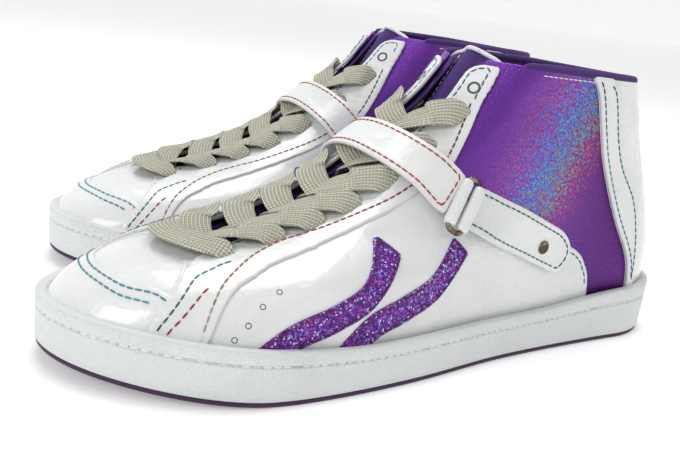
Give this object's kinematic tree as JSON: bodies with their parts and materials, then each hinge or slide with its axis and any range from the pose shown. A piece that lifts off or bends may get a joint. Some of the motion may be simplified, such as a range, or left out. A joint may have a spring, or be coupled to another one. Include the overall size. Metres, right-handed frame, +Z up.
{
  "type": "cheer shoes",
  "caption": "Pair of high-top cheer shoes with a cup sole, laced throat, padded tongue, and a strap over the instep that closes through a metal ring with hook and loop.",
  "frame": {"origin": "on the floor, at the middle of the pair's outline seen from above", "axes": "+Z up; toes toward -X, heels toward +X; the left shoe lies at -Y and the right shoe at +Y"},
  "size_m": [0.3128, 0.2126, 0.1125],
  "materials": {
    "white_patent": "glossy white patent leather with fine puckers and raw cut edges",
    "holographic_foil": "purple foil-faced leather with rainbow glints",
    "purple_glitter": "purple glitter film on cloth",
    "purple_mesh": "woven purple air mesh",
    "white_rubber": "finely stippled white rubber, matte",
    "outsole_rubber": "dark purple rubber",
    "lace_cotton": "flat woven off-white lace",
    "antique_bronze": "antique bronze, dark in its corners",
    "fibre_board": "pressed fibre board",
    "hook_and_loop": "grey hook-and-loop tape"
  },
  "bodies": {
    "left_shoe": {"left_collar_binding": "purple_mesh", "left_collar_panel_lateral": "holographic_foil", "left_collar_panel_medial": "holographic_foil", "left_eyestay_lateral": "white_patent", "left_eyestay_medial": "white_patent", "left_glitter_band_front_lateral": "purple_glitter", "left_glitter_band_front_medial": "purple_glitter", "left_glitter_band_rear_lateral": "purple_glitter", "left_glitter_band_rear_medial": "purple_glitter", "left_heel_counter": "white_patent", "left_heel_strip_lateral": "white_patent", "left_heel_strip_medial": "white_patent", "left_instep_strap": "white_patent", "left_lace": "lace_cotton", "left_lasting_board": "fibre_board", "left_lining": "purple_mesh", "left_loop_patch": "hook_and_loop", "left_midsole_cup": "white_rubber", "left_outsole": "outsole_rubber", "left_quarter_lateral": "white_patent", "left_quarter_medial": "white_patent", "left_sockliner": "purple_mesh", "left_toe_cap": "white_patent", "left_tongue": "purple_mesh", "left_vamp": "white_patent"},
    "left_ring": {"left_strap_ring": "antique_bronze"},
    "left_flap": {"left_strap_flap": "white_patent", "left_flap_rivet": "antique_bronze", "left_hook_patch": "hook_and_loop"},
    "right_shoe": {"right_collar_binding": "purple_mesh", "right_collar_panel_lateral": "holographic_foil", "right_collar_panel_medial": "holographic_foil", "right_eyestay_lateral": "white_patent", "right_eyestay_medial": "white_patent", "right_glitter_band_front_lateral": "purple_glitter", "right_glitter_band_front_medial": "purple_glitter", "right_glitter_band_rear_lateral": "purple_glitter", "right_glitter_band_rear_medial": "purple_glitter", "right_heel_counter": "white_patent", "right_heel_strip_lateral": "white_patent", "right_heel_strip_medial": "white_patent", "right_instep_strap": "white_patent", "right_lace": "lace_cotton", "right_lasting_board": "fibre_board", "right_lining": "purple_mesh", "right_loop_patch": "hook_and_loop", "right_midsole_cup": "white_rubber", "right_outsole": "outsole_rubber", "right_quarter_lateral": "white_patent", "right_quarter_medial": "white_patent", "right_sockliner": "purple_mesh", "right_toe_cap": "white_patent", "right_tongue": "purple_mesh", "right_vamp": "white_patent"},
    "right_ring": {"right_strap_ring": "antique_bronze"},
    "right_flap": {"right_strap_flap": "white_patent", "right_flap_rivet": "antique_bronze", "right_hook_patch": "hook_and_loop"}
  },
  "joints": [
    {"name": "right_shoe_lift", "type": "slide", "parent": "left_shoe", "child": "right_shoe", "axis": [0, 0, 1], "range_m": [0, 0.2]},
    {"name": "left_ring_swing", "type": "hinge", "parent": "left_shoe", "child": "left_ring", "pos_m": [-0.02278, -0.09016, 0.06109], "axis": [-0.5597, -0.2273, -0.7969], "range_deg": [0, 45]},
    {"name": "left_flap_swing", "type": "hinge", "parent": "left_ring", "child": "left_flap", "pos_m": [-0.01823, -0.09202, 0.05842], "axis": [-0.5597, -0.2273, -0.7969], "range_deg": [0, 120]},
    {"name": "right_ring_swing", "type": "hinge", "parent": "right_shoe", "child": "right_ring", "pos_m": [0.02016, 0.08433, 0.06109], "axis": [0.5377, -0.2752, 0.7969], "range_deg": [0, 45]},
    {"name": "right_flap_swing", "type": "hinge", "parent": "right_ring", "child": "right_flap", "pos_m": [0.02487, 0.08579, 0.05842], "axis": [0.5377, -0.2752, 0.7969], "range_deg": [0, 120]}
  ]
}
